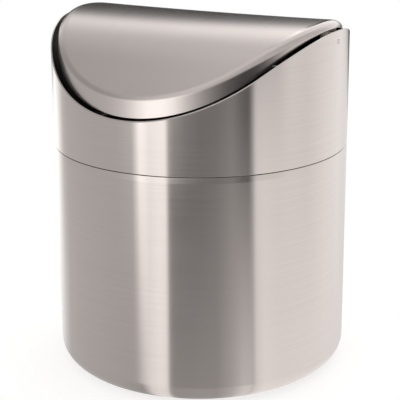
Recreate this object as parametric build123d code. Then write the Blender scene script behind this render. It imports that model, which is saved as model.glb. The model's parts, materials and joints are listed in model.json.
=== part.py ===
from build123d import *
import os
from math import asin, atan, cos, degrees, radians, sin, sqrt, tan

# Countertop bin of brushed stainless sheet: a drawn can, a collar that plugs into its mouth,
# and a pressed lid that swings both ways on two pins in the collar.
# Millimetres. Z is up from the counter, X is the swing axis, and -Y is the front.

# ---------------------------------------------------------------- driving sizes
can_diameter = 127.0
sheet = 0.5                 # can, collar and lid sheet
seam_height = 97.2          # top of the can's rolled rim, above the counter

foot_bend = 8.0             # outside radius of the can's bottom corner
foot_lip = 12.0             # how far the wall turns in under the floor
floor_step = 1.0            # how far the floor's middle is pressed up, at 45 degrees
floor_step_inset = 1.5      # from the lip's edge to the step in the floor
floor_bend = 0.5            # outside radius of the bends in the step
pad_proud = 0.5             # how far the pad stands below the lip
pad_inset = 4.0             # from the step in the floor to the pad's edge

rim_bend = 1.25             # outside radius of the two bends over the rolled rim
rim_flat = 0.1              # width of the flat between those bends
curl_bend = 1.0             # outside radius where the rim's inner leg turns back
curl_gap = 0.5              # end of the curl to the inside of the wall
collar_seam = 0.3           # open seam between the rim and the collar
collar_bend = 0.7           # outside radius of the collar's bottom edge
collar_height = 51.6        # bottom edge to the high points at the pivots
cut_ridge_radius = 67.5     # round top of the saddle cut, over the pivots
cut_flank_angle = 37.4      # straight flanks of the cut, down to front and back

spigot_length = 12.0        # how deep the collar plugs into the can
spigot_clearance = 0.3
spigot_bend = 0.8
flange_edge_gap = 0.1       # edge of each welded flange to the other one's bend

lid_gap = 2.5               # lid skirt to collar wall, all round
lid_rise = 3.2              # lid's highest points above the collar's
skirt_height = 6.7          # lid skirt's height at its front and rear, to the roof's sharp corner
ridge_hollow = 0.5          # sag of the ridge between its two ends
lid_bend = 2.8              # outside radius from roof to skirt
skirt_gap = 0.3             # skirt's edge above the collar's edge, over the pivots
skirt_ease = 1.25           # how much flatter its flanks run than the cut's, so that the gap opens

weight_thickness = 4.0      # balance strip inside each skirt
weight_half_width = 40.0
weight_margin = 0.7         # strip to the skirt's edge, and to the lid's bend

pivot_depth = 4.5           # swing axis below the collar's high points
pin_diameter = 3.0
pin_fit = 0.05              # radial clearance in strap and spacer
tip_diameter = 1.6          # riveted end of the pin, in the collar's wall
tip_fit = 0.03
tip_recess = 0.1
strap_thickness = 1.0
strap_width = 14.0
strap_tongue = 9.0          # length welded under the roof
seat_gap = 0.05             # between curved faces that are welded or pressed together
spacer_diameter = 7.0
side_play = 0.15            # lid strap to spacer, and to retainer
retainer_diameter = 8.0
retainer_thickness = 0.5
retainer_dish = 0.6
retainer_fit = 0.02         # radial clearance on the pin
pin_end = 0.8               # pin standing past its retainer

# ---------------------------------------------------------------- sizes that follow
can_radius = can_diameter / 2
wall_inside = can_radius - sheet
lip_radius = can_radius - foot_lip
floor_height = pad_proud + sheet
plateau_height = floor_height + floor_step
step_radius = lip_radius - floor_step_inset

rim_inside = can_radius - 2 * rim_bend - rim_flat
curl_height = seam_height - rim_bend - rim_flat - curl_bend
spigot_radius = rim_inside - spigot_clearance
collar_base = seam_height + collar_seam
collar_top = collar_base + collar_height

pivot_height = collar_top - pivot_depth
lid_radius = wall_inside - lid_gap
lid_inside = lid_radius - sheet
edge_stretch = can_radius / lid_radius      # so the skirt's edge follows the collar's cut
edge_angle = atan(edge_stretch * tan(radians(cut_flank_angle))) - radians(skirt_ease)
edge_ridge_radius = cut_ridge_radius / edge_stretch**2
edge_top = collar_top + skirt_gap
edge_flank = lid_radius - edge_ridge_radius * sin(edge_angle)
edge_front = edge_top - edge_ridge_radius * (1 - cos(edge_angle)) - edge_flank * tan(edge_angle)

ridge_height = collar_top + lid_rise - ridge_hollow
hollow_radius = lid_radius**2 / (2 * ridge_hollow)
roof_fall = ridge_height - edge_front - skirt_height
roof_radius = (lid_radius**2 + roof_fall**2) / (2 * roof_fall)
weight_height = skirt_height - lid_bend - 2 * weight_margin
form_base = collar_base      # the lid's form is worked on down to here, then cut

reach = 2 * can_radius       # past everything, for cutting bodies


# ---------------------------------------------------------------- shared forms
def sheet_ring(*corners, bends, side):
    """Ring of sheet turned round Z: the corners run along one face of its section."""
    face_line = FilletPolyline(*corners, radius=bends)
    section = make_face(Wire(face_line.edges()).offset_2d(sheet, side=side, closed=True))
    return revolve(Plane.XZ * section, Axis.Z)


def above_saddle(top, ridge_radius, turn):
    """Everything above a saddle line: a round ridge over X that turns down into straight flanks."""
    tangent = Vector(ridge_radius * sin(turn), top - ridge_radius * (1 - cos(turn)))
    end = tangent + Vector(reach, -reach * tan(turn))
    ridge = ThreePointArc((-tangent.X, tangent.Y), (0, top), (tangent.X, tangent.Y))
    rest = Polyline(
        (tangent.X, tangent.Y), (end.X, end.Y), (end.X, top + reach),
        (-end.X, top + reach), (-end.X, end.Y), (-tangent.X, tangent.Y),
    )
    outline = make_face(Wire([*ridge.edges(), *rest.edges()]))
    return extrude(Plane.YZ * outline, amount=reach, both=True)


def lid_form(inset):
    """Block with the lid's outside shape, each face moved in by inset.

    The roof is an arch carried along a very long arc, so that its ridge sags between its ends.
    """
    hub_height = ridge_height + hollow_radius
    half_sweep = degrees(asin(can_radius / hollow_radius))
    arch_radius = roof_radius - inset
    arch_centre = ridge_height - roof_radius
    arch_end = can_radius
    arch_fall = arch_radius * (1 - cos(asin(arch_end / arch_radius)))
    arch_top = arch_centre + arch_radius
    arch = ThreePointArc((-arch_end, arch_top - arch_fall), (0, arch_top), (arch_end, arch_top - arch_fall))
    sides = Polyline(
        (arch_end, arch_top - arch_fall), (arch_end, form_base),
        (-arch_end, form_base), (-arch_end, arch_top - arch_fall),
    )
    section = Plane.YZ * make_face(Wire([*arch.edges(), *sides.edges()]))
    hub = Axis((0, 0, hub_height), (0, 1, 0))
    block = revolve(section.rotate(hub, -half_sweep), hub, 2 * half_sweep)
    form = block & Cylinder(lid_radius - inset, 3 * reach)
    roof = form.faces().sort_by(Axis.Z)[-1]
    return fillet(roof.edges(), lid_bend - inset)


def along_x(radius, start, end):
    """Round bar on the swing axis, from start to end along X."""
    bar = Cylinder(radius, end - start, align=(Align.CENTER, Align.CENTER, Align.MIN))
    return Plane(origin=(start, 0, pivot_height), z_dir=(1, 0, 0)) * bar


def pair(name, right_piece):
    """The same piece at both ends of the swing axis."""
    return {f"{name}_right": right_piece, f"{name}_left": mirror(right_piece, Plane.YZ)}


# ---------------------------------------------------------------- can
def can_wall():
    """Drawn tube: the foot turns in under the floor, and the mouth is rolled inwards."""
    return sheet_ring(
        (lip_radius, pad_proud),
        (can_radius, pad_proud),
        (can_radius, seam_height),
        (rim_inside, seam_height),
        (rim_inside, curl_height),
        (wall_inside - curl_gap, curl_height),
        bends=[foot_bend, rim_bend, rim_bend, curl_bend],
        side=Side.LEFT,
    )


def can_floor():
    """Pressed disc on the wall's lip, its middle stepped up for the pad."""
    rim = (can_radius - foot_bend, floor_height)
    outline = FilletPolyline(
        rim, (step_radius, floor_height), (step_radius - floor_step, plateau_height), (0, plateau_height),
        radius=floor_bend,
    )
    section = make_face(Wire(outline.edges()).offset_2d(sheet, side=Side.RIGHT, closed=True))
    return revolve(Plane.XZ * section, Axis.Z)


def base_pad():
    """Non-slip disc stuck into the floor's recess, which the bin stands on."""
    radius = step_radius - floor_step - pad_inset
    return Cylinder(radius, plateau_height, align=(Align.CENTER, Align.CENTER, Align.MIN))


# ---------------------------------------------------------------- collar
def collar_band():
    """Outer band, flush with the can, flanged in at its bottom and cut to a saddle at its top."""
    spigot_bend_end = spigot_radius + spigot_bend - sheet
    tube = sheet_ring(
        (spigot_bend_end + flange_edge_gap, collar_base),
        (can_radius, collar_base),
        (can_radius, collar_top + sheet),
        bends=collar_bend,
        side=Side.LEFT,
    )
    pin_holes = along_x(tip_diameter / 2 + tip_fit, -reach, reach)
    return tube - above_saddle(collar_top, cut_ridge_radius, radians(cut_flank_angle)) - pin_holes


def collar_spigot():
    """Inner ring welded to the band's flange, which plugs into the can's rolled mouth."""
    flange_height = collar_base + 2 * sheet
    return sheet_ring(
        (can_radius - collar_bend - flange_edge_gap, flange_height),
        (spigot_radius - sheet, flange_height),
        (spigot_radius - sheet, collar_base - spigot_length),
        bends=spigot_bend,
        side=Side.LEFT,
    )


# ---------------------------------------------------------------- lid
def lid_shell():
    """Pressed lid: arched roof, soft bend and a skirt whose edge follows the collar's cut."""
    return (lid_form(0) - lid_form(sheet)) & above_saddle(edge_top, edge_ridge_radius, edge_angle)


def lid_weight_front():
    """Balance strip welded inside the front skirt, low enough to swing the lid shut."""
    outside = lid_inside - seat_gap
    ring = Cylinder(outside, 3 * reach) - Cylinder(outside - weight_thickness, 3 * reach)
    inner_height = edge_front + weight_margin + lid_radius * tan(edge_angle)
    outer_height = inner_height - reach * tan(edge_angle)
    band = Polyline(
        (0, inner_height), (0, inner_height + weight_height),
        (-reach, outer_height + weight_height), (-reach, outer_height), close=True,
    )
    return ring & extrude(Plane.YZ * make_face(band), weight_half_width, both=True)


def lid_strap_right():
    """Strap bent to the lid's inside corner: its tongue is welded to the roof, its leg takes the pin."""
    outside = sheet + seat_gap
    corner = lid_form(outside) - lid_form(outside + strap_thickness)
    half_width = strap_width / 2
    leg = Plane.YZ * (Pos(0, pivot_height) * Circle(half_width))
    leg += Plane.YZ * (Pos(0, pivot_height) * Rectangle(strap_width, reach, align=(Align.CENTER, Align.MIN)))
    blank = extrude(leg, reach) - Box(2 * (lid_inside - strap_tongue), reach, 4 * reach)
    return (corner & blank) - along_x(pin_diameter / 2 + pin_fit, 0, reach)


# ---------------------------------------------------------------- pivot, right-hand end
def chord_depth(radius, diameter):
    """How far out along X a flat disc on the swing axis reaches inside a wall of that radius."""
    return sqrt(radius**2 - (diameter / 2) ** 2)


strap_outside = lid_inside - seat_gap
strap_inside = strap_outside - strap_thickness
spacer_start = strap_outside + side_play
shoulder = chord_depth(wall_inside - seat_gap, spacer_diameter)
retainer_seat = chord_depth(strap_inside, retainer_diameter) - side_play


def pivot_pin_right():
    """Stepped pin: its thin tip is riveted flush in the collar's wall."""
    shank = along_x(pin_diameter / 2, retainer_seat - retainer_dish - pin_end, shoulder)
    tip = along_x(tip_diameter / 2, shoulder, can_radius - tip_recess)
    return shank + tip


def pivot_spacer_right():
    """Nylon washer that keeps the lid's skirt off the collar's wall."""
    return along_x(spacer_diameter / 2, spacer_start, shoulder) - along_x(
        pin_diameter / 2 + pin_fit, spacer_start, shoulder
    )


def pin_retainer_right():
    """Dished push-on washer that keeps the strap on its pin."""
    bore = pin_diameter / 2 + retainer_fit
    rim = retainer_diameter / 2
    outline = Polyline(
        (bore, retainer_dish), (rim / 2, retainer_dish), (rim, 0),
        (rim, -retainer_thickness), (rim / 2, retainer_dish - retainer_thickness),
        (bore, retainer_dish - retainer_thickness), close=True,
    )
    washer = revolve(Plane.XZ * make_face(outline), Axis.Z)
    return Plane(origin=(retainer_seat - retainer_thickness, 0, pivot_height), z_dir=(-1, 0, 0)) * washer


# ---------------------------------------------------------------- write the pieces
weight = lid_weight_front()
pieces = {
    "can_wall": can_wall(),
    "can_floor": can_floor(),
    "base_pad": base_pad(),
    "collar_band": collar_band(),
    "collar_spigot": collar_spigot(),
    "lid_shell": lid_shell(),
    "lid_weight_front": weight,
    "lid_weight_rear": mirror(weight, Plane.XZ),
    **pair("lid_strap", lid_strap_right()),
    **pair("pivot_pin", pivot_pin_right()),
    **pair("pivot_spacer", pivot_spacer_right()),
    **pair("pin_retainer", pin_retainer_right()),
}

os.makedirs("parts", exist_ok=True)
for name, piece in pieces.items():
    export_step(piece, f"parts/{name}.step")
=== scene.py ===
import json
from math import radians

import bpy
import numpy as np
from mathutils import Matrix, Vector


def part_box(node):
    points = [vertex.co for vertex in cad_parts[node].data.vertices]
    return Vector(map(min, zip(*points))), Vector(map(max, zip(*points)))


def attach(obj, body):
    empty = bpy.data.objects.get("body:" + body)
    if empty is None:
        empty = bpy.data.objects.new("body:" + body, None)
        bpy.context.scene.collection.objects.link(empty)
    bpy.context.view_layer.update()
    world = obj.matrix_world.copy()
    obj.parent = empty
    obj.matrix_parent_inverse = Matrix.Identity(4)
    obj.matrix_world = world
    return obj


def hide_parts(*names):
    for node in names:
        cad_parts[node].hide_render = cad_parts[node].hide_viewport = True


bl_info = {
    "name": "Swing Lid Bin",
    "version": (1, 0, 0),
    "blender": (4, 5, 0),
    "location": "View3D > Sidebar > Swing Lid Bin",
    "description": "Dresses a countertop bin of brushed stainless sheet, with a lid that swings both ways",
    "category": "Add Mesh",
}

# Metres, in the frame's own axes: Z is up, X is the swing axis and -Y is the front.
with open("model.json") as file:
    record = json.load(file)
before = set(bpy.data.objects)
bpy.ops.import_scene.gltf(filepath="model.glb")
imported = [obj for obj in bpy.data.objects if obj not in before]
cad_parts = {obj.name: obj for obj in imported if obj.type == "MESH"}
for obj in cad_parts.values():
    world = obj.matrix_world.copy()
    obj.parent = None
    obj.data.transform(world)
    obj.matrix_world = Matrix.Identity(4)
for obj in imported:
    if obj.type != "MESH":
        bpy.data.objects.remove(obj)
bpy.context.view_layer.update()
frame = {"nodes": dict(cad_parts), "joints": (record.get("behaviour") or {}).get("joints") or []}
MM = 0.001

CAN_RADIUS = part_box("can_wall")[1].x
FOOT_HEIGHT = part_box("can_wall")[0].z
SEAM_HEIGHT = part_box("can_wall")[1].z
COLLAR_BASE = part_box("collar_band")[0].z
COLLAR_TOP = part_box("collar_band")[1].z
LID_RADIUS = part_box("lid_shell")[1].y
PIVOT_HEIGHT = next(j["pos_m"][2] for j in frame["joints"] if j["name"] == "lid_swing")

TURN_STEPS = 360        # quads round the can
BEND_STEPS = 8          # quads round each bend in the sheet
WALL_STEPS = 40         # quads up the collar's wall
ROOF_STEPS = 48         # quads from the middle of the lid's roof to its bend
SKIRT_STEPS = 6         # quads down the lid's skirt
FLOOR_RINGS = 24        # quads from the middle of the floor to its edge
FLOOR_SPOKES = 96       # quads round the floor
TENT_COLUMNS = 360      # quads round the tent
TENT_ROWS = 150         # quads from the tent's lowest point to its highest
REAR = np.pi / 2        # azimuth of the rear, where a wall's mesh closes
WELD_DECIMALS = 8       # points that agree to this many decimals of a metre are one
SIDES = ("right", "left")


# ---------------------------------------- sizes and colours
def length(name, description, millimetres):
    """A length that the panel shows, given in millimetres and kept in metres."""
    return bpy.props.FloatProperty(
        name=name, description=description, default=millimetres * MM, unit="LENGTH", precision=5
    )


def angle(name, description, degrees):
    """An angle that the panel shows, given in degrees and kept in radians."""
    return bpy.props.FloatProperty(
        name=name, description=description, default=radians(degrees), subtype="ANGLE"
    )


def colour(name, description, shade):
    """A colour that the panel shows, given as sRGB hex and kept linear."""
    return bpy.props.FloatVectorProperty(
        name=name, description=description, default=linear(shade), size=4, subtype="COLOR", min=0.0, max=1.0
    )


def amount(name, description, value, highest=1.0):
    """A plain number that the panel shows."""
    return bpy.props.FloatProperty(name=name, description=description, default=value, min=0.0, max=highest)


def linear(shade):
    """An sRGB hex colour as linear red, green, blue and full alpha."""
    part = np.array([int(shade[i:i + 2], 16) for i in (1, 3, 5)]) / 255
    part = np.where(part <= 0.04045, part / 12.92, ((part + 0.055) / 1.055) ** 2.4)
    return (*part, 1.0)


class BinSizes(bpy.types.PropertyGroup):
    """Sizes of the sheet metal that the frame's boxes don't give."""

    sheet: length("Sheet", "Thickness of the can, collar and lid sheet", 0.5)
    foot_bend: length("Foot Bend", "Outside radius of the can's bottom corner", 8.0)
    foot_lip: length("Foot Lip", "How far the wall turns in under the floor", 12.0)
    floor_step_inset: length("Floor Step Inset", "From the lip's edge to the step in the floor", 1.5)
    floor_bend: length("Floor Bend", "Outside radius of the bends in the floor's step", 0.5)
    rim_edge: length("Rim Edge", "Outside radius of the rolled rim's outer bend, pressed home", 0.12)
    rim_bend: length("Rim Bend", "Outside radius of the rolled rim's inner bend", 1.25)
    rim_flat: length("Rim Flat", "How much wider the rim is than two of its inner bends", 0.1)
    rim_band: length("Rim Band", "Height of the band under the rim that its rolling leaves leaning in", 2.4)
    rim_lean: length("Rim Lean", "How far the band leans in at the rim", 0.09)
    rim_ease: length("Rim Ease", "Radius of the bend at the band's foot", 10.0)
    curl_bend: length("Curl Bend", "Outside radius where the rim's inner leg turns back", 1.0)
    curl_gap: length("Curl Gap", "End of the curl to the inside of the wall", 0.5)
    collar_bend: length("Collar Bend", "Outside radius of the collar's bottom edge", 0.12)
    spigot_clearance: length("Spigot Clearance", "Rolled rim to the collar's spigot", 0.3)
    spigot_bend: length("Spigot Bend", "Outside radius of the spigot's bend", 0.8)
    flange_edge_gap: length("Flange Edge Gap", "Edge of each welded flange to the other piece's bend", 0.1)
    cut_ridge_radius: length("Cut Ridge Radius", "Round top of the collar's saddle cut", 67.5)
    cut_flank_angle: angle("Cut Flank Angle", "Slope of the saddle cut's straight flanks", 37.4)
    lid_rise: length("Lid Rise", "The lid's highest points above the collar's", 3.2)
    roof_ridge_radius: length("Roof Ridge Radius", "Round ridge of the lid's roof, between its flanks", 77.0)
    lid_bend: length("Lid Bend", "Outside radius from the lid's roof to its skirt", 3.2)
    skirt_draft: angle("Skirt Draft", "How far the pressed skirt leans in from its edge up", 5.0)
    ridge_hollow: length("Ridge Hollow", "Sag of the lid's ridge between its two ends", 0.5)
    skirt_height: length("Skirt Height", "The lid skirt's height at its front and rear", 7.4)
    skirt_gap: length("Skirt Gap", "The skirt's edge above the collar's, over the pivots", 0.3)
    skirt_ease: angle("Skirt Ease", "How much flatter the skirt's flanks run than the cut's", 1.25)
    # This radius also places the ring of painted shade round each pin's tip on the brushed sheet.
    tip_hole: length("Tip Hole", "Radius of the hole round the pin's riveted tip", 0.83)


class BinColours(bpy.types.PropertyGroup):
    """Colours of the bin's finishes."""

    steel_light: colour("Brushed Steel, Light", "Crests between the brush lines", "#CFC6C2")
    steel_dark: colour("Brushed Steel, Dark", "Floors of the brush lines", "#CAC1BD")
    mill_light: colour("Mill Steel, Light", "Rolled sheet that was never brushed", "#B9B6B2")
    mill_dark: colour("Mill Steel, Dark", "Its pickled patches", "#A29E9A")
    zinc_light: colour("Zinc Light", "Bright crystals on the balance strips", "#A3A5A6")
    zinc_dark: colour("Zinc Dark", "Dull crystals on the balance strips", "#8A8B8C")
    # This near black also paints the shade ring round each pin's riveted tip on the brushed sheet.
    blackened: colour("Blackened Steel", "Oil-blackened spring steel", "#3A3937")
    nylon: colour("Nylon", "Natural nylon", "#DED9CB")
    rubber_light: colour("Rubber, Light", "Foamed rubber sheet", "#1E1D1C")
    rubber_dark: colour("Rubber, Dark", "Its denser patches", "#171615")
    counter: colour("Counter", "Pale counter under the bin", "#BDBCBA")


# ---------------------------------------- surfaces
def skin(name, points, normals, grain, slots, materials, body, nodes):
    """A mesh on a grid of points, whose rows and columns run along its two parameters.

    points and normals are rows x columns x 3, grain is rows x columns x 2, and slots gives each strip
    between two rows its material. Rows or columns that lie on each other close seams, poles and
    sections: equal points are made one vertex and quads that lose their width are left out, while
    each corner keeps the normal of its own row, so that a doubled row is a crisp edge.
    """
    rows, columns = points.shape[:2]
    flat = points.reshape(-1, 3)
    vertices, same = np.unique(np.round(flat, WELD_DECIMALS), axis=0, return_inverse=True)
    index = np.arange(rows * columns).reshape(rows, columns)
    quads = np.stack([index[:-1, :-1], index[1:, :-1], index[1:, 1:], index[:-1, 1:]], -1)
    quads = quads.reshape(-1, 4)
    slot = np.repeat(np.broadcast_to(slots, rows - 1), columns - 1)

    corner = flat[quads]
    facing = np.cross(corner[:, 2] - corner[:, 0], corner[:, 3] - corner[:, 1])
    wanted = normals.reshape(-1, 3)[quads].sum(1)
    inward = (facing * wanted).sum(1) < 0
    quads[inward] = quads[inward][:, ::-1]

    welded = same.reshape(-1)[quads]
    kept_corner = welded != np.roll(welded, -1, axis=1)
    kept = kept_corner.sum(1) >= 3
    kept_corner, quads, welded = kept_corner[kept], quads[kept], welded[kept]
    corners = quads[kept_corner]
    counts = kept_corner.sum(1)

    mesh = bpy.data.meshes.new(name)
    mesh.vertices.add(len(vertices))
    mesh.vertices.foreach_set("co", vertices.astype(np.float32).ravel())
    mesh.loops.add(len(corners))
    mesh.loops.foreach_set("vertex_index", welded[kept_corner].astype(np.int32))
    mesh.polygons.add(len(counts))
    mesh.polygons.foreach_set("loop_start", (np.cumsum(counts) - counts).astype(np.int32))
    mesh.polygons.foreach_set("material_index", slot[kept].astype(np.int32))
    mesh.update(calc_edges=True)
    layer = mesh.uv_layers.new(name="grain")
    layer.uv.foreach_set("vector", grain.reshape(-1, 2)[corners].astype(np.float32).ravel())
    mesh.normals_split_custom_set(normals.reshape(-1, 3)[corners].tolist())
    for material in materials:
        mesh.materials.append(material)

    piece = bpy.data.objects.new(name, mesh)
    bpy.context.scene.collection.objects.link(piece)
    if body:
        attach(piece, body)
        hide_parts(*nodes)
    return piece


def unit(vectors):
    """The same directions, each of length one."""
    return vectors / np.linalg.norm(vectors, axis=-1, keepdims=True)


def rounded_line(corners, bends, thickness):
    """A line through the corners, with an arc of its own radius in each inner corner.

    An arc starts and ends where its circle touches the two runs, and its points are evenly spaced
    in angle. The sheet's far side lies its thickness to the line's left. Where a bend is tighter
    than the sheet is thick, its inside is the sharp corner in which the two runs' far sides meet.
    Returns the points, the normals to the line's left and the points on the far side.
    """
    corners = np.array(corners, float)
    runs = unit(np.diff(corners, axis=0))
    lefts = np.stack([-runs[:, 1], runs[:, 0]], -1)
    points, normals, far = [corners[0]], [lefts[0]], [corners[0] + lefts[0] * thickness]
    for corner, bend, before, after, left in zip(corners[1:-1], bends, runs, runs[1:], lefts):
        turn = np.arctan2(before[0] * after[1] - before[1] * after[0], before @ after)
        side = np.sign(turn)
        start = corner - before * bend * np.tan(abs(turn) / 2)
        centre = start + left * side * bend
        angles = np.linspace(0, turn, BEND_STEPS + 1)[:, None]
        across = np.array([-left[1], left[0]])
        facing = left * np.cos(angles) + across * np.sin(angles)
        points.extend(centre - facing * side * bend)
        normals.extend(facing)
        if side * thickness > bend:
            meeting = corner + (left + facing[-1]) * thickness / (1 + before @ after)
            far.extend([meeting] * len(facing))
        else:
            far.extend(centre - facing * (side * bend - thickness))
    points.append(corners[-1])
    normals.append(lefts[-1])
    far.append(corners[-1] + lefts[-1] * thickness)
    return np.array(points), np.array(normals), np.array(far)


def both_faces(near, near_out, far, far_out, start_out, end_out):
    """Rows that go along a sheet's near side, over its end, back on its far side and over its start.

    The rows at the sheet's edges are doubled, so that its cut ends are crisp. start_out and end_out
    are the ends' outward normals, at the near side and at the far side. Returns the points, the
    outward normals and, for each strip between two rows, 1 on the far side and 0 elsewhere.
    """
    points = np.concatenate([near, near[-1:], far[-1:], far[::-1], far[:1], near[:1]])
    normals = np.concatenate([near_out, end_out, far_out[::-1], start_out[::-1]])
    sides = np.concatenate([np.zeros(len(near) + 1), np.ones(len(far) + 1), np.zeros(1)])
    return points, normals, sides.astype(int)


def sheet_section(corners, bends, thickness):
    """Section of bent sheet: the rounded line, its far side, and an end at right angles to each run."""
    near, left, far = rounded_line(corners, bends, thickness)
    start = np.array([-left[0][1], left[0][0]])
    end = np.array([left[-1][1], -left[-1][0]])
    return both_faces(near, -left, far, left, np.stack([start, start]), np.stack([end, end]))


def swept(section, cos, sin):
    """A section (radius, height) turned round Z, as x, y and z at each azimuth's cosine and sine."""
    radius, height = section[:, 0, None], section[:, 1, None]
    return np.stack([radius * cos, radius * sin, height + 0 * cos], -1)


def grain_round(section, azimuth):
    """Grain that runs round the axis: the length along the section, and the arc round the can."""
    steps = np.linalg.norm(np.diff(section, axis=0), axis=1)
    along = np.concatenate([[0], np.cumsum(steps)])
    return np.stack(np.broadcast_arrays(along[:, None], azimuth * CAN_RADIUS), -1)


def once_round(start):
    """Azimuths once round Z, from the start to the start again."""
    return start + np.linspace(0, 2 * np.pi, TURN_STEPS + 1)


def turned(name, section, normals, sides, materials, body, node, start=0.0):
    """A section (radius, height) turned round Z from the azimuth of its start, with its grain round it."""
    azimuth = once_round(start)
    cos, sin = np.cos(azimuth), np.sin(azimuth)
    points = swept(section, cos, sin)
    points[:, -1] = points[:, 0]
    grain = grain_round(section, azimuth)
    return skin(name, points, swept(normals, cos, sin), grain, sides, materials, body, [node])


def saddle(y, top, ridge_radius, flank_angle):
    """Height of a saddle line and its slope along Y.

    Over the swing axis it is a circle of the ridge's radius. Where that circle has turned to the
    flank's angle, straight flanks run on down, tangent to it.
    """
    tangent = ridge_radius * np.sin(flank_angle)
    inner = np.clip(np.abs(y), 0, tangent)
    beyond = np.clip(np.abs(y) - tangent, 0, None)
    height = top - ridge_radius + np.sqrt(ridge_radius**2 - inner**2) - beyond * np.tan(flank_angle)
    slope = -np.sign(y) * inner / np.sqrt(ridge_radius**2 - inner**2)
    return height, slope


def skirt_edge(y, sizes):
    """Height and slope of the skirt's edge, which follows the collar's cut as seen from the axis.

    Drawn in from the can's radius to the lid's, the cut's flanks get steeper by the stretch between
    the two, and its round top tighter by the stretch's square. The edge lies the skirt's gap above
    that, and its flanks run flatter by the skirt's ease.
    """
    stretch = CAN_RADIUS / LID_RADIUS
    angle = np.arctan(stretch * np.tan(sizes.cut_flank_angle)) - sizes.skirt_ease
    return saddle(y, COLLAR_TOP + sizes.skirt_gap, sizes.cut_ridge_radius / stretch**2, angle)


def edge_normal(slope, upwards):
    """Unit normal of an edge cut square to X, from its slope along Y."""
    return unit(np.stack([0 * slope, -slope, 1 + 0 * slope], -1)) * upwards


def roof(x, y, inset, sizes):
    """Height and normal of the lid's roof, moved in by inset.

    Across Y the roof is a saddle line whose straight flanks run down to the skirt's top at the front
    and rear. The flank's angle is that of a line through that point which touches the ridge's circle:
    the point's own angle about the circle's centre, from straight up, less the angle whose cosine is
    the circle's radius over the point's distance. The saddle line is carried along X on a circle about
    a far hub above, so hub height minus z is the root of (hub height minus the line's height) squared
    minus x squared.
    """
    ridge = COLLAR_TOP + sizes.lid_rise - sizes.ridge_hollow
    radius = sizes.roof_ridge_radius
    below = radius - (ridge - skirt_edge(-LID_RADIUS, sizes)[0] - sizes.skirt_height)
    angle = np.arctan2(LID_RADIUS, below) - np.arccos(radius / np.hypot(LID_RADIUS, below))
    line, slope = saddle(y, ridge - inset, radius - inset, angle)
    hub = ridge + LID_RADIUS**2 / (2 * sizes.ridge_hollow)
    drop = np.sqrt((hub - line) ** 2 - x**2)
    normals = unit(np.stack([-x / drop, -slope * (hub - line) / drop, 1 + 0 * x], -1))
    return hub - drop, normals


def lid_side(azimuth, inset, sizes, rounds=4):
    """One side of the lid's sheet, from the middle of the roof to the skirt's edge, at each azimuth.

    A ball of the bend's radius rolls inside roof and skirt. The skirt leans in from its edge up by
    its draft, so the ball's centre lies its radius under the roof and its radius inside that
    slanting line, which a few rounds of putting one into the other find. The ball touches the roof
    along the roof's normal and the skirt along the skirt's, and the bend turns evenly from one to
    the other. The roof runs straight out from the middle to where the ball touches, and the skirt
    straight down to its edge.
    """
    cos, sin = np.cos(azimuth), np.sin(azimuth)
    draft = sizes.skirt_draft
    bend = sizes.lid_bend - inset
    edge_radius = LID_RADIUS - inset / np.cos(draft)
    edge, slope = skirt_edge(edge_radius * sin, sizes)
    outer_edge = skirt_edge(LID_RADIUS * sin, sizes)[0]
    off_skirt = LID_RADIUS - sizes.lid_bend / np.cos(draft)
    centre_radius = LID_RADIUS - sizes.lid_bend
    for _ in range(rounds):
        centre_z, up = roof(centre_radius * cos, centre_radius * sin, sizes.lid_bend, sizes)
        centre_radius = off_skirt - (centre_z - outer_edge) * np.tan(draft)
    centre = np.stack([centre_radius * cos, centre_radius * sin, centre_z], -1)
    out = np.stack([cos * np.cos(draft), sin * np.cos(draft), np.sin(draft) + 0 * cos], -1)

    share = np.linspace(0, 1, ROOF_STEPS + 1)[:, None]
    touch = centre + up * bend
    x, y = share * touch[:, 0], share * touch[:, 1]
    height, up_all = roof(x, y, inset, sizes)
    roof_points = np.stack([x, y, height], -1)

    turn = np.arccos(np.clip((up * out).sum(-1), -1, 1))
    part = np.linspace(0, 1, BEND_STEPS + 1)[:, None]
    from_up = np.sin((1 - part) * turn)[..., None] * up
    from_out = np.sin(part * turn)[..., None] * out
    bend_normals = (from_up + from_out) / np.sin(turn)[:, None]
    bend_points = centre + bend_normals * bend

    down = np.linspace(0, 1, SKIRT_STEPS + 1)[:, None, None]
    ends = np.stack([edge_radius * cos, edge_radius * sin, edge], -1)
    skirt_points = bend_points[-1] + down * (ends - bend_points[-1])
    skirt_normals = np.broadcast_to(out, skirt_points.shape)

    points = np.concatenate([roof_points, bend_points[1:], skirt_points[1:]])
    normals = np.concatenate([up_all, bend_normals[1:], skirt_normals[1:]])
    return points, normals, edge_normal(slope, -1.0)


# ---------------------------------------- materials
def add(tree, kind, inputs=None, stops=(), **settings):
    """Adds a node to the tree, with its settings, and with its inputs set or linked.

    stops are the two (place, colour) ends of a colour ramp.
    """
    node = tree.nodes.new(kind)
    for name, value in settings.items():
        setattr(node, name, value)
    for socket, value in (inputs or {}).items():
        if isinstance(value, bpy.types.NodeSocket):
            tree.links.new(value, node.inputs[socket])
        else:
            node.inputs[socket].default_value = value
    for end, (place, shade) in enumerate(stops):
        node.color_ramp.elements[end].position = place
        node.color_ramp.elements[end].color = shade
    return node


def fresh_material(name):
    """A material, its emptied node tree and the place on its piece that patterns are laid out by."""
    material = bpy.data.materials.new(name)
    material.use_nodes = True
    tree = material.node_tree
    tree.nodes.clear()
    return material, tree, add(tree, "ShaderNodeTexCoord").outputs["Object"]


def surfaced(material, shader):
    """The material, with the shader's first output as its surface."""
    add(material.node_tree, "ShaderNodeOutputMaterial", {"Surface": shader.outputs[0]})
    return material


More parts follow.
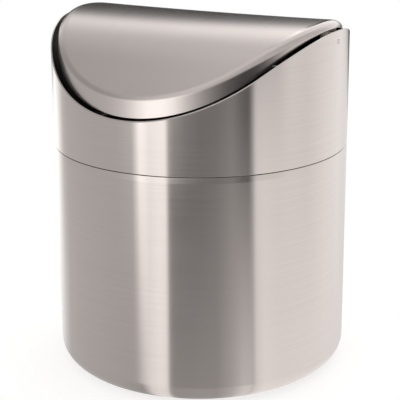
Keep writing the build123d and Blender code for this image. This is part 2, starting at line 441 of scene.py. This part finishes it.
def brushed_stainless(name, line_scale, gloss_range, colours):
    """Stainless sheet, belt-brushed: fine parallel lines that draw each light out across them.

    line_scale is the pattern's scale per metre along X, Y and Z. Real brush lines are 0.05 to
    0.1 mm apart, too fine to show, so they are drawn about 0.3 mm apart and 45 mm long. Each pin's
    riveted tip fills a hole on the swing axis. The mesh has no hole, so a fine ring of painted shade,
    in the blackened steel's colour, stands for the hole's shaded edge round the tip.
    """
    material, tree, place = fresh_material(name)
    stretched = add(tree, "ShaderNodeMapping", {"Vector": place, "Scale": line_scale})
    lines = add(tree, "ShaderNodeTexNoise", {
        "Vector": stretched.outputs["Vector"], "Scale": 1.0, "Detail": 4.0, "Roughness": 0.65})
    clouds = add(tree, "ShaderNodeTexNoise", {"Vector": place, "Scale": 1 / (25 * MM), "Detail": 2.0})
    shade = add(tree, "ShaderNodeValToRGB", {"Fac": lines.outputs["Fac"]},
                stops=[(0.3, colours.steel_dark), (0.7, colours.steel_light)])

    # Painted shade: a fine near-black ring round each pin's riveted tip on the swing axis, where the edge of
    # its hole would lie in shade.
    hole = bpy.context.scene.bin_sizes.tip_hole
    painted_shade_ring_half_width = 0.16
    from_axis = add(tree, "ShaderNodeVectorMath", {
        0: place, 1: (0, 0, PIVOT_HEIGHT)}, operation="SUBTRACT")
    in_holes = add(tree, "ShaderNodeVectorMath", {
        0: from_axis.outputs["Vector"], 1: (0, 1 / hole, 1 / hole)}, operation="MULTIPLY")
    reach = add(tree, "ShaderNodeVectorMath", {0: in_holes.outputs["Vector"]}, operation="LENGTH")
    ring = add(tree, "ShaderNodeMath", {
        0: reach.outputs["Value"], 1: 1.0, 2: painted_shade_ring_half_width}, operation="COMPARE")
    # A mix node's colours are its inputs 6 and 7 and its output 2: the ring of painted shade goes over the
    # brush lines' colour.
    with_painted_shade_ring = add(tree, "ShaderNodeMix", {
        0: ring.outputs["Value"], 6: shade.outputs["Color"], 7: colours.blackened}, data_type="RGBA")

    gloss = add(tree, "ShaderNodeMapRange", {
        "Value": lines.outputs["Fac"], "From Min": 0.3, "From Max": 0.7,
        "To Min": gloss_range[0], "To Max": gloss_range[1]})
    dulled = add(tree, "ShaderNodeMapRange", {
        "Value": clouds.outputs["Fac"], "From Min": 0.35, "From Max": 0.65,
        "To Min": -0.006, "To Max": 0.006})
    roughness = add(tree, "ShaderNodeMath", {
        0: gloss.outputs["Result"], 1: dulled.outputs["Result"]}, operation="ADD")
    bump = add(tree, "ShaderNodeBump", {
        "Strength": 0.05, "Distance": 0.02 * MM, "Height": lines.outputs["Fac"]})
    tangent = add(tree, "ShaderNodeTangent", direction_type="UV_MAP", uv_map="grain")
    shader = add(tree, "ShaderNodeBsdfPrincipled", {
        "Base Color": with_painted_shade_ring.outputs[2], "Metallic": 1.0, "Roughness": roughness.outputs["Value"],
        "Anisotropic": 1.0, "Normal": bump.outputs["Normal"], "Tangent": tangent.outputs["Tangent"]})
    return surfaced(material, shader)


def mill_stainless(colours):
    """Cold-rolled stainless with its mill finish: dull, even and faintly clouded."""
    material, tree, place = fresh_material("mill_stainless")
    clouds = add(tree, "ShaderNodeTexNoise", {
        "Vector": place, "Scale": 1 / (6 * MM), "Detail": 6.0, "Roughness": 0.6})
    shade = add(tree, "ShaderNodeValToRGB", {"Fac": clouds.outputs["Fac"]},
                stops=[(0.15, colours.mill_dark), (0.85, colours.mill_light)])
    gloss = add(tree, "ShaderNodeMapRange", {
        "Value": clouds.outputs["Fac"], "From Min": 0.3, "From Max": 0.7, "To Min": 0.36, "To Max": 0.40})
    shader = add(tree, "ShaderNodeBsdfPrincipled", {
        "Base Color": shade.outputs["Color"], "Metallic": 1.0, "Roughness": gloss.outputs["Result"]})
    return surfaced(material, shader)


def turned_stainless(colours):
    """Turned stainless bar: fine rings round the swing axis, half polished."""
    material, tree, place = fresh_material("turned_stainless")
    stretched = add(tree, "ShaderNodeMapping", {
        "Vector": place, "Scale": (1 / (0.2 * MM), 1 / (25 * MM), 1 / (25 * MM))})
    rings = add(tree, "ShaderNodeTexNoise", {
        "Vector": stretched.outputs["Vector"], "Scale": 1.0, "Detail": 2.0})
    shade = add(tree, "ShaderNodeValToRGB", {"Fac": rings.outputs["Fac"]},
                stops=[(0.35, colours.mill_dark), (0.65, colours.steel_light)])
    bump = add(tree, "ShaderNodeBump", {
        "Strength": 0.2, "Distance": 0.02 * MM, "Height": rings.outputs["Fac"]})
    shader = add(tree, "ShaderNodeBsdfPrincipled", {
        "Base Color": shade.outputs["Color"], "Metallic": 1.0, "Roughness": 0.28,
        "Normal": bump.outputs["Normal"]})
    return surfaced(material, shader)


def zinc_plate(colours):
    """Zinc-plated flat bar: cool grey, with the dull crystal patches of a barrel-plated finish."""
    material, tree, place = fresh_material("zinc_plate")
    patches = add(tree, "ShaderNodeTexVoronoi", {
        "Vector": place, "Scale": 1 / (1.2 * MM), "Randomness": 1.0})
    clouds = add(tree, "ShaderNodeTexNoise", {"Vector": place, "Scale": 1 / (4 * MM), "Detail": 4.0})
    shade = add(tree, "ShaderNodeValToRGB", {"Fac": patches.outputs["Color"]},
                stops=[(0.0, colours.zinc_dark), (1.0, colours.zinc_light)])
    gloss = add(tree, "ShaderNodeMapRange", {
        "Value": clouds.outputs["Fac"], "From Min": 0.3, "From Max": 0.7, "To Min": 0.35, "To Max": 0.55})
    shader = add(tree, "ShaderNodeBsdfPrincipled", {
        "Base Color": shade.outputs["Color"], "Metallic": 1.0, "Roughness": gloss.outputs["Result"]})
    return surfaced(material, shader)


def blackened_steel(colours):
    """Oil-blackened spring steel: near black, with a soft oily shade that varies."""
    material, tree, place = fresh_material("blackened_steel")
    clouds = add(tree, "ShaderNodeTexNoise", {"Vector": place, "Scale": 1 / (1.5 * MM), "Detail": 4.0})
    gloss = add(tree, "ShaderNodeMapRange", {
        "Value": clouds.outputs["Fac"], "From Min": 0.3, "From Max": 0.7, "To Min": 0.28, "To Max": 0.48})
    shader = add(tree, "ShaderNodeBsdfPrincipled", {
        "Base Color": colours.blackened, "Metallic": 1.0, "Roughness": gloss.outputs["Result"]})
    return surfaced(material, shader)


def moulded_nylon(colours):
    """Moulded natural nylon: milky, waxy and slightly uneven from the mould."""
    material, tree, place = fresh_material("moulded_nylon")
    grit = add(tree, "ShaderNodeTexNoise", {"Vector": place, "Scale": 1 / (0.3 * MM), "Detail": 3.0})
    bump = add(tree, "ShaderNodeBump", {
        "Strength": 0.2, "Distance": 0.02 * MM, "Height": grit.outputs["Fac"]})
    gloss = add(tree, "ShaderNodeMapRange", {
        "Value": grit.outputs["Fac"], "To Min": 0.38, "To Max": 0.5})
    shader = add(tree, "ShaderNodeBsdfPrincipled", {
        "Base Color": colours.nylon, "Roughness": gloss.outputs["Result"], "IOR": 1.53,
        "Subsurface Weight": 0.15, "Subsurface Scale": 1 * MM, "Normal": bump.outputs["Normal"]})
    return surfaced(material, shader)


def foamed_rubber(colours):
    """Foamed rubber sheet, cut to a disc: matt black with fine open cells."""
    material, tree, place = fresh_material("foamed_rubber")
    cells = add(tree, "ShaderNodeTexVoronoi", {"Vector": place, "Scale": 1 / (0.7 * MM)})
    clouds = add(tree, "ShaderNodeTexNoise", {"Vector": place, "Scale": 1 / (9 * MM), "Detail": 3.0})
    shade = add(tree, "ShaderNodeValToRGB", {"Fac": clouds.outputs["Fac"]},
                stops=[(0.3, colours.rubber_dark), (0.7, colours.rubber_light)])
    bump = add(tree, "ShaderNodeBump", {
        "Strength": 0.5, "Distance": 0.15 * MM, "Height": cells.outputs["Distance"]})
    shader = add(tree, "ShaderNodeBsdfPrincipled", {
        "Base Color": shade.outputs["Color"], "Roughness": 0.85, "IOR": 1.52,
        "Normal": bump.outputs["Normal"]})
    return surfaced(material, shader)


# Brush lines on the can and collar run round Z, and those on the lid run front to rear.
ACROSS_LINES = 1 / (0.3 * MM)
ALONG_LINES = 1 / (45 * MM)
BRUSHED = {
    "brushed_round": ((ALONG_LINES, ALONG_LINES, ACROSS_LINES), (0.155, 0.165)),
    "brushed_flat": ((ACROSS_LINES, ALONG_LINES, ALONG_LINES), (0.16, 0.17)),
}
PLAIN = {
    "mill_stainless": mill_stainless,
    "turned_stainless": turned_stainless,
    "zinc_plate": zinc_plate,
    "blackened_steel": blackened_steel,
    "moulded_nylon": moulded_nylon,
    "foamed_rubber": foamed_rubber,
}


def finish(name):
    """The material of that name, made when it is first asked for."""
    colours = bpy.context.scene.bin_colours
    if name in bpy.data.materials:
        return bpy.data.materials[name]
    if name in BRUSHED:
        return brushed_stainless(name, *BRUSHED[name], colours)
    return PLAIN[name](colours)


def dress(node, name):
    """Gives a CAD node's object a finish in each of its slots."""
    for slot in frame["nodes"][node].material_slots:
        slot.material = finish(name)


# ---------------------------------------- pieces
def rim_bore(sizes):
    """Radius of the hole through the can's rolled rim, which is two bends and a flat wide."""
    return CAN_RADIUS - 2 * sizes.rim_bend - sizes.rim_flat


class BIN_OT_can(bpy.types.Operator):
    """Makes the drawn can, its pressed floor and the pad under it"""

    bl_idname = "bin.can"
    bl_label = "Can, Floor and Pad"

    def execute(self, context):
        # The wall's line runs out along the foot from its lip, up the wall, in over the rim, and down
        # its inner leg to the curl, which turns back towards the wall.
        sizes = context.scene.bin_sizes
        inside = CAN_RADIUS - sizes.sheet
        lip = CAN_RADIUS - sizes.foot_lip
        rim = rim_bore(sizes)
        curl = SEAM_HEIGHT - sizes.rim_bend - sizes.rim_flat - sizes.curl_bend
        corners = [
            (lip, FOOT_HEIGHT), (CAN_RADIUS, FOOT_HEIGHT), (CAN_RADIUS, SEAM_HEIGHT - sizes.rim_band),
            (CAN_RADIUS - sizes.rim_lean, SEAM_HEIGHT), (rim, SEAM_HEIGHT), (rim, curl),
            (inside - sizes.curl_gap, curl),
        ]
        bends = [sizes.foot_bend, sizes.rim_ease, sizes.rim_edge, sizes.rim_bend, sizes.curl_bend]
        section = sheet_section(corners, bends, sizes.sheet)
        faces = [finish("brushed_round"), finish("mill_stainless")]
        wall = turned("can_wall_brushed", *section, faces, "can", "can_wall", start=REAR)

        # The floor's line runs in along its underside and up a step at 45 degrees. Its sheet lies to
        # the line's right, so the normals are turned over.
        low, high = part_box("can_floor")
        step = lip - sizes.floor_step_inset
        plateau = high.z - sizes.sheet
        corners = [(high.x, low.z), (step, low.z), (step - plateau + low.z, plateau), (0, plateau)]
        points, normals, _ = sheet_section(corners, [sizes.floor_bend] * 2, -sizes.sheet)
        mill = [finish("mill_stainless")]
        floor = turned("can_floor_pressed", points, -normals, 0, mill, "can", "can_floor")

        low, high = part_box("base_pad")
        corners = np.array([(0, low.z), (high.x, low.z), (high.x, high.z), (0, high.z)])
        outline = corners[[0, 1, 1, 2, 2, 3]]
        normals = np.array([(0, -1), (1, 0), (0, 1)], float).repeat(2, axis=0)
        pad = turned("base_pad_foam", outline, normals, 0, [finish("foamed_rubber")], "can", "base_pad")
        return {"FINISHED"}


class BIN_OT_collar(bpy.types.Operator):
    """Makes the saddle-cut collar and the spigot ring inside it"""

    bl_idname = "bin.collar"
    bl_label = "Collar and Spigot"

    def execute(self, context):
        # The collar's flange runs in to the spigot's bend, and the spigot's flange, which is welded
        # on top of it, runs out to the collar's bend.
        sizes = context.scene.bin_sizes
        spigot = rim_bore(sizes) - sizes.spigot_clearance
        flange = spigot + sizes.spigot_bend - sizes.sheet + sizes.flange_edge_gap
        self.band(sizes, flange)

        edge = CAN_RADIUS - max(sizes.collar_bend, sizes.sheet) - sizes.flange_edge_gap
        top = COLLAR_BASE + 2 * sizes.sheet
        bore = spigot - sizes.sheet
        corners = [(edge, top), (bore, top), (bore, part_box("collar_spigot")[0].z)]
        section = sheet_section(corners, [sizes.spigot_bend], sizes.sheet)
        faces = [finish("mill_stainless")] * 2
        ring = turned("collar_spigot_ring", *section, faces, "collar", "collar_spigot")
        return {"FINISHED"}

    def band(self, sizes, flange):
        """The collar's section, turned round Z, with its wall drawn out to the height of the saddle cut."""
        corners = [(flange, COLLAR_BASE), (CAN_RADIUS, COLLAR_BASE), (CAN_RADIUS, COLLAR_TOP)]
        outside, left, inside = rounded_line(corners, [sizes.collar_bend], sizes.sheet)
        share = np.linspace(0, 1, WALL_STEPS + 1)[1:, None]
        left = np.concatenate([left[:-1], np.repeat(left[-1:], WALL_STEPS, 0)])
        up_wall = np.concatenate([np.zeros(len(left) - WALL_STEPS), share[:, 0]])[:, None]

        azimuth = once_round(REAR)
        cos, sin = np.cos(azimuth), np.sin(azimuth)
        faces, edges = [], []
        for line in (outside, inside):
            line = np.concatenate([line[:-1], line[-2] + share * (line[-1] - line[-2])])
            points = swept(line, cos, sin)
            cut, slope = saddle(points[..., 1], COLLAR_TOP, sizes.cut_ridge_radius, sizes.cut_flank_angle)
            points[..., 2] += up_wall * (cut - COLLAR_TOP)
            points[:, -1] = points[:, 0]
            faces.append(points)
            edges.append(edge_normal(slope[-1], 1.0))
        out = swept(-left, cos, sin)
        inwards = np.stack([-cos, -sin, 0 * cos], -1)
        points, normals, sides = both_faces(
            faces[0], out, faces[1], -out, np.stack([inwards, inwards]), np.stack(edges))
        grain = grain_round(points[:, 0], azimuth)
        materials = [finish("brushed_round"), finish("mill_stainless")]
        band = skin("collar_band_brushed", points, normals, grain, sides, materials,
                    "collar", ["collar_band"])


class BIN_OT_lid(bpy.types.Operator):
    """Makes the pressed lid: arched roof, soft bend and a skirt that follows the collar's cut"""

    bl_idname = "bin.lid"
    bl_label = "Lid"

    def execute(self, context):
        sizes = context.scene.bin_sizes
        azimuth = once_round(REAR)
        outer, outer_out, edge = lid_side(azimuth, 0.0, sizes)
        inner, inner_out, inner_edge = lid_side(azimuth, sizes.sheet, sizes)
        points = np.concatenate([outer, outer[-1:], inner[-1:], inner[::-1]])
        points[:, -1] = points[:, 0]
        normals = np.concatenate([outer_out, edge[None], inner_edge[None], -inner_out[::-1]])
        sides = np.concatenate([np.zeros(len(outer) + 1), np.ones(len(inner))]).astype(int)

        # On the roof the grain is laid out flat, and down the skirt it is straight down.
        down_skirt = np.stack([np.broadcast_to(azimuth * LID_RADIUS, points.shape[:2]), -points[..., 2]], -1)
        on_skirt = np.linalg.norm(points[..., :2], axis=-1) > LID_RADIUS - sizes.lid_bend
        grain = np.where(on_skirt[..., None], down_skirt, points[..., :2])
        materials = [finish("brushed_flat"), finish("mill_stainless")]
        lid = skin("lid_shell_brushed", points, normals, grain, sides, materials, "lid", ["lid_shell"])
        return {"FINISHED"}


class BIN_OT_lid_fittings(bpy.types.Operator):
    """Finishes the balance strips and the straps welded under the lid"""

    bl_idname = "bin.lid_fittings"
    bl_label = "Balance Strips and Straps"

    def execute(self, context):
        for node in ("lid_weight_front", "lid_weight_rear"):
            dress(node, "zinc_plate")
        for side in SIDES:
            dress(f"lid_strap_{side}", "mill_stainless")
        return {"FINISHED"}


class BIN_OT_pivots(bpy.types.Operator):
    """Finishes the pins, spacers and retainers at both ends of the swing axis"""

    bl_idname = "bin.pivots"
    bl_label = "Pivots"

    def execute(self, context):
        for side in SIDES:
            dress(f"pivot_pin_{side}", "turned_stainless")
            dress(f"pivot_spacer_{side}", "moulded_nylon")
            dress(f"pin_retainer_{side}", "blackened_steel")
        return {"FINISHED"}


# ---------------------------------------- stage
class BinStudio(bpy.types.PropertyGroup):
    """Where the camera stands, and how the stage is laid out and lit."""

    camera_azimuth: angle("Camera Azimuth", "Turn round the bin, from the front towards +X", 28.969)
    camera_distance: length("Camera Distance", "From the bin's axis, along the counter", 492.61)
    camera_height: length("Camera Height", "Above the counter", 224.18)
    camera_pitch: angle("Camera Pitch", "How far it looks down", 15.602)
    camera_yaw: angle("Camera Yaw", "How far it looks past the axis, to the right", 0.988)
    camera_roll: angle("Camera Roll", "Tilt of its frame", -0.133)
    tent_radius: length("Tent Radius", "From the middle of the counter to the tent", 2000.0)
    tent_twist: amount("Tent Twist", "Degrees that the overhead cards lie askew, per unit across", 46.5, 90.0)
    floor_drop: length("Floor Drop", "How far the floor lies below the pad, to stay out of its face", 0.02)
    floor_glow: amount("Floor Glow", "Share of the floor's white that it gives off itself", 0.68)
    floor_spread: length("Floor Spread", "Radius of the floor", 105.0)
    fade_start: amount("Fade Start", "Share of the floor's radius at which it starts to fade", 0.68)
    fade_end: amount("Fade End", "Share of the floor's radius at which it is clear", 0.98)


class BIN_OT_studio(bpy.types.Operator):
    """Makes the pale floor, the light tent with its cards, the white backdrop and the camera"""

    bl_idname = "bin.studio"
    bl_label = "Studio"

    # The tent's glow, laid out by the upright mirrors that show it to the camera. The mirrors stand
    # round the can, and the first number is their place across its view, from -1 at its left side
    # to 1 at its right. Then come the glows that the lid's skirt, the collar, the can and its foot show.
    wall_stops = (
        (-1.000, 0.70, 1.40, 1.15, 1.05), (-0.985, 0.65, 1.58, 1.12, 0.98), (-0.965, 0.62, 1.24, 1.05, 0.92),
        (-0.940, 0.60, 0.74, 0.86, 0.78), (-0.910, 0.60, 0.65, 0.67, 0.62), (-0.710, 0.60, 0.60, 0.64, 0.58),
        (-0.570, 0.72, 0.58, 0.59, 0.55), (-0.470, 1.20, 0.60, 0.56, 0.50), (-0.442, 1.50, 1.35, 0.54, 0.48),
        (-0.420, 1.70, 1.95, 0.92, 0.46), (-0.390, 1.80, 1.70, 1.22, 0.72), (-0.355, 1.80, 1.32, 1.14, 1.08),
        (-0.290, 1.80, 1.42, 1.34, 1.22), (-0.245, 1.80, 1.48, 1.16, 1.15), (-0.222, 1.80, 0.20, 0.28, 0.52),
        (-0.190, 1.50, 0.04, 0.20, 0.46), (-0.100, 0.80, 0.06, 0.24, 0.48), (0.000, 0.45, 0.10, 0.29, 0.50),
        (0.100, 0.20, 0.23, 0.34, 0.49), (0.208, 0.08, 0.33, 0.50, 0.68), (0.280, 0.04, 0.08, 0.66, 0.98),
        (0.325, 0.03, 0.02, 0.66, 1.00), (0.350, 0.03, 0.64, 0.50, 0.85), (0.374, 0.03, 1.30, 0.95, 1.06),
        (0.430, 0.05, 1.28, 1.08, 1.22), (0.520, 0.30, 1.15, 1.05, 1.17), (0.600, 0.90, 1.04, 1.07, 1.15),
        (0.720, 0.98, 0.95, 1.14, 1.15), (0.850, 1.05, 1.16, 1.18, 1.10), (0.930, 1.15, 1.20, 1.08, 0.95),
        (0.980, 1.30, 1.00, 0.82, 0.72), (1.000, 1.30, 0.85, 0.70, 0.65),
    )
    # How high above the horizon, in degrees, each of those four glows starts and stops to hold.
    wall_levels = ((90, -2), (-8, -12), (-20.5, -20.5), (-25.5, -90))
    # For mirrors that face up: the degrees that they lean to the front, and the glow.
    roof_stops = (
        (-90, 0.04), (2.7, 0.04), (7.6, 0.08), (11.1, 0.10), (13.6, 0.28), (15.6, 1.06), (17.6, 1.42),
        (20.2, 1.20), (22.3, 1.00), (24.6, 0.78), (27.0, 0.66), (29.4, 0.60), (32.0, 0.54), (35, 0.46),
        (90, 0.46),
    )
    # How that glow differs from side to side: how far the mirror leans left or right, as the part of
    # its normal along X, and then its share in the bright band, past it, at the lid's front edge and
    # round the bend.
    roof_sides = (
        (-0.25, 0.90, 0.99, 0.97, 0.97), (-0.10, 0.96, 0.98, 0.91, 0.91), (0.00, 1.05, 0.97, 1.17, 1.17),
        (0.05, 1.14, 1.10, 1.78, 1.78), (0.12, 1.22, 1.36, 1.95, 1.95), (0.28, 1.28, 1.50, 1.95, 1.90),
        (0.45, 1.32, 1.75, 2.25, 1.40), (0.55, 1.35, 1.90, 2.70, 1.40), (0.90, 1.35, 1.90, 2.50, 1.60),
    )

    # Degrees of lean to the front over which each of those shares gives way to the next.
    past_band = (20.5, 26.5)
    to_front = (28, 34)
    to_bend = (42, 58)
    # Degrees above upright over which a mirror turns from the wall's glow to the roof's.
    wall_to_roof = (13, 24)

    def execute(self, context):
        studio = context.scene.bin_studio
        self.tent(studio)
        self.floor(studio)
        self.backdrop(context.scene)
        self.camera(context.scene, studio)
        return {"FINISHED"}

    def tent(self, studio):
        """A dome round the bin, whose glow is read from the stops.

        A brushed sheet smears each light across its grain, along the mirrors that share one facing.
        So the glow is given by facing: the unit vector halfway between the way to the tent and the
        way to the camera. Upright facings read the wall's stops, facings well above them read the
        roof's, and they change over across the lid's bend.
        """
        azimuth = np.radians(np.linspace(0, 360, TENT_COLUMNS + 1))
        elevation = np.radians(np.linspace(-90, 90, TENT_ROWS + 1))[:, None]
        out = np.stack(np.broadcast_arrays(
            np.cos(azimuth) * np.cos(elevation), np.sin(azimuth) * np.cos(elevation), np.sin(elevation)), -1)
        eye = np.array(self.eye(studio))
        never_zero = 1e-6       # for the point straight behind the bin, which has no half vector
        to_wall = unit(out + unit(eye - (0, 0, SEAM_HEIGHT)) + never_zero)
        to_roof = unit(out + unit(eye - (0, 0, COLLAR_TOP)) + never_zero)

        wall = self.wall_glow(studio, to_wall, np.degrees(elevation))
        roof = self.roof_glow(studio, to_roof)
        upward = np.degrees(np.arcsin(to_wall[..., 2]))
        glow = wall + (roof - wall) * np.interp(upward, self.wall_to_roof, (0, 1))

        material, tree, _ = fresh_material("tent_cloth")
        level = add(tree, "ShaderNodeUVMap", uv_map="grain")
        split = add(tree, "ShaderNodeSeparateXYZ", {"Vector": level.outputs["UV"]})
        emission = add(tree, "ShaderNodeEmission", {"Strength": split.outputs["X"]})
        cloth = [surfaced(material, emission)]
        as_grain = np.stack([glow, glow], -1)
        dome = skin("light_tent", out * studio.tent_radius, -out, as_grain, 0, cloth, None, [])
        dome.visible_camera = False
        dome.visible_shadow = False

    def wall_glow(self, studio, facing, elevation):
        """Glow of the tent by the facing of upright mirrors, at each elevation of the tent.

        Facings are azimuths to the right of the camera's. A mirror at a share of the way across the
        view is seen along a line off the axis by the angle whose tangent is that share of the can's
        radius over the length of a line that just touches the can. Its facing is the angle whose sine
        is the camera's distance times that angle's sine over the radius, less the angle itself, and
        plus half of it, because the half vector is taken from the axis.
        """
        turn = studio.camera_azimuth
        ahead = facing @ (np.sin(turn), -np.cos(turn), 0)
        right = np.degrees(np.arctan2(facing @ (np.cos(turn), np.sin(turn), 0), ahead))

        across, *glows = np.array(self.wall_stops).T
        away = studio.camera_distance
        off_axis = np.arctan(across * CAN_RADIUS / np.sqrt(away**2 - CAN_RADIUS**2))
        seen_at = np.clip(away * np.sin(off_axis) / CAN_RADIUS, -1, 1)
        stops = np.degrees(np.arcsin(seen_at) - off_axis / 2)

        levels = [np.interp(right, stops, glow) for glow in glows]
        wall = levels[0]
        for level, (start, _), (_, above) in zip(levels[1:], self.wall_levels[1:], self.wall_levels):
            held = np.interp(elevation, (start, above), (1, 0))
            wall = wall * (1 - held) + level * held
        return wall

    def roof_glow(self, studio, facing):
        """Glow of the tent by the facing of mirrors that face up: the lean's glow times the side's share."""
        sideways = facing[..., 0]
        lean = np.degrees(np.arctan2(-facing[..., 1], facing[..., 2])) + studio.tent_twist * sideways
        places, *columns = np.array(self.roof_sides).T
        band, past, front, bend = (np.interp(sideways, places, column) for column in columns)
        share = band + (past - band) * np.interp(lean, self.past_band, (0, 1))
        share = share + (front - share) * np.interp(lean, self.to_front, (0, 1))
        share = share + (bend - share) * np.interp(lean, self.to_bend, (0, 1))
        return np.interp(lean, *zip(*self.roof_stops)) * share

    def floor(self, studio):
        """A pale disc just under the bin that fades out into the backdrop, and is clear from below."""
        spread = studio.floor_spread
        distance = np.linspace(0, spread, FLOOR_RINGS + 1)
        azimuth = np.linspace(0, 2 * np.pi, FLOOR_SPOKES + 1)
        section = np.stack([distance, 0 * distance - studio.floor_drop], -1)
        points = swept(section, np.cos(azimuth), np.sin(azimuth))
        normals = np.zeros_like(points)
        normals[..., 2] = 1

        material, tree, place = fresh_material("pale_counter")
        reach = add(tree, "ShaderNodeVectorMath", {0: place}, operation="LENGTH")
        fade = add(tree, "ShaderNodeMapRange", {
            "Value": reach.outputs["Value"], "From Min": studio.fade_start * spread,
            "From Max": studio.fade_end * spread}, interpolation_type="SMOOTHSTEP")
        below = add(tree, "ShaderNodeNewGeometry").outputs["Backfacing"]
        unseen = add(tree, "ShaderNodeMath", {0: fade.outputs["Result"], 1: below}, operation="MAXIMUM")

        path = add(tree, "ShaderNodeLightPath").outputs
        straight = add(tree, "ShaderNodeMath", {
            0: path["Is Camera Ray"], 1: path["Is Transmission Ray"]}, operation="MAXIMUM")
        seen = add(tree, "ShaderNodeMath", {
            0: straight.outputs["Value"], 1: path["Is Glossy Ray"]}, operation="MAXIMUM")
        lift = add(tree, "ShaderNodeMath", {
            0: seen.outputs["Value"], 1: studio.floor_glow}, operation="MULTIPLY")
        pale = add(tree, "ShaderNodeBsdfDiffuse", {"Color": bpy.context.scene.bin_colours.counter})
        glow = add(tree, "ShaderNodeEmission", {"Strength": lift.outputs["Value"]})
        lit = add(tree, "ShaderNodeAddShader", {0: pale.outputs["BSDF"], 1: glow.outputs["Emission"]})
        clear = add(tree, "ShaderNodeBsdfTransparent")
        mix = add(tree, "ShaderNodeMixShader", {
            0: unseen.outputs["Value"], 1: lit.outputs["Shader"], 2: clear.outputs["BSDF"]})
        top = [surfaced(material, mix)]
        counter = skin("counter", points, normals, points[..., :2], 0, top, None, [])
        counter.visible_glossy = False

    def backdrop(self, scene):
        """White wherever the camera looks past the bin and the floor, with colours shown as they are."""
        world = bpy.data.worlds.new("white_backdrop")
        world.use_nodes = True
        tree = world.node_tree
        tree.nodes.clear()
        output = add(tree, "ShaderNodeOutputWorld")
        white = add(tree, "ShaderNodeBackground", {"Color": (1.0, 1.0, 1.0, 1.0), "Strength": 1.0})
        tree.links.new(white.outputs["Background"], output.inputs["Surface"])
        scene.world = world
        scene.view_settings.view_transform = "Standard"

    def eye(self, studio):
        """Where the camera stands."""
        around, away = studio.camera_azimuth, studio.camera_distance
        return away * np.sin(around), -away * np.cos(around), studio.camera_height

    def camera(self, scene, studio):
        """A long lens, a little above the bin, that looks past the axis by the yaw."""
        data = bpy.data.cameras.new("camera")
        data.sensor_width = 36.0
        data.lens = 104.472
        data.shift_x = -0.05125
        data.shift_y = -0.09875
        data.clip_start = 0.05
        data.clip_end = 20.0
        camera = bpy.data.objects.new("camera", data)
        scene.collection.objects.link(camera)
        place = Matrix.Translation(self.eye(studio))
        heading = Matrix.Rotation(studio.camera_azimuth - studio.camera_yaw, 4, "Z")
        tilt = Matrix.Rotation(radians(90) - studio.camera_pitch, 4, "X")
        camera.matrix_world = place @ heading @ tilt @ Matrix.Rotation(studio.camera_roll, 4, "Z")
        scene.camera = camera


# ---------------------------------------- add-on
OPERATORS = (BIN_OT_can, BIN_OT_collar, BIN_OT_lid, BIN_OT_lid_fittings, BIN_OT_pivots, BIN_OT_studio)
SETTINGS = {"bin_sizes": BinSizes, "bin_colours": BinColours, "bin_studio": BinStudio}


class BIN_PT_sidebar(bpy.types.Panel):
    """Lists the bin's pieces and its sizes, colours and stage"""

    bl_idname = "BIN_PT_sidebar"
    bl_label = "Swing Lid Bin"
    bl_space_type = "VIEW_3D"
    bl_region_type = "UI"
    bl_category = "Swing Lid Bin"

    def draw(self, context):
        for operator in OPERATORS:
            self.layout.operator(operator.bl_idname)
        for name, group in SETTINGS.items():
            box = self.layout.box()
            for setting in group.__annotations__:
                box.prop(getattr(context.scene, name), setting)


def register():
    for group in SETTINGS.values():
        bpy.utils.register_class(group)
    for name, group in SETTINGS.items():
        setattr(bpy.types.Scene, name, bpy.props.PointerProperty(type=group))
    for shown in (*OPERATORS, BIN_PT_sidebar):
        bpy.utils.register_class(shown)


def unregister():
    for shown in (BIN_PT_sidebar, *OPERATORS):
        bpy.utils.unregister_class(shown)
    for name in SETTINGS:
        delattr(bpy.types.Scene, name)
    for group in SETTINGS.values():
        bpy.utils.unregister_class(group)


def main():
    """Builds the bin and its stage."""
    register()
    bpy.ops.bin.can()
    bpy.ops.bin.collar()
    bpy.ops.bin.lid()
    bpy.ops.bin.lid_fittings()
    bpy.ops.bin.pivots()
    bpy.ops.bin.studio()


if __name__ == "__main__":
    main()
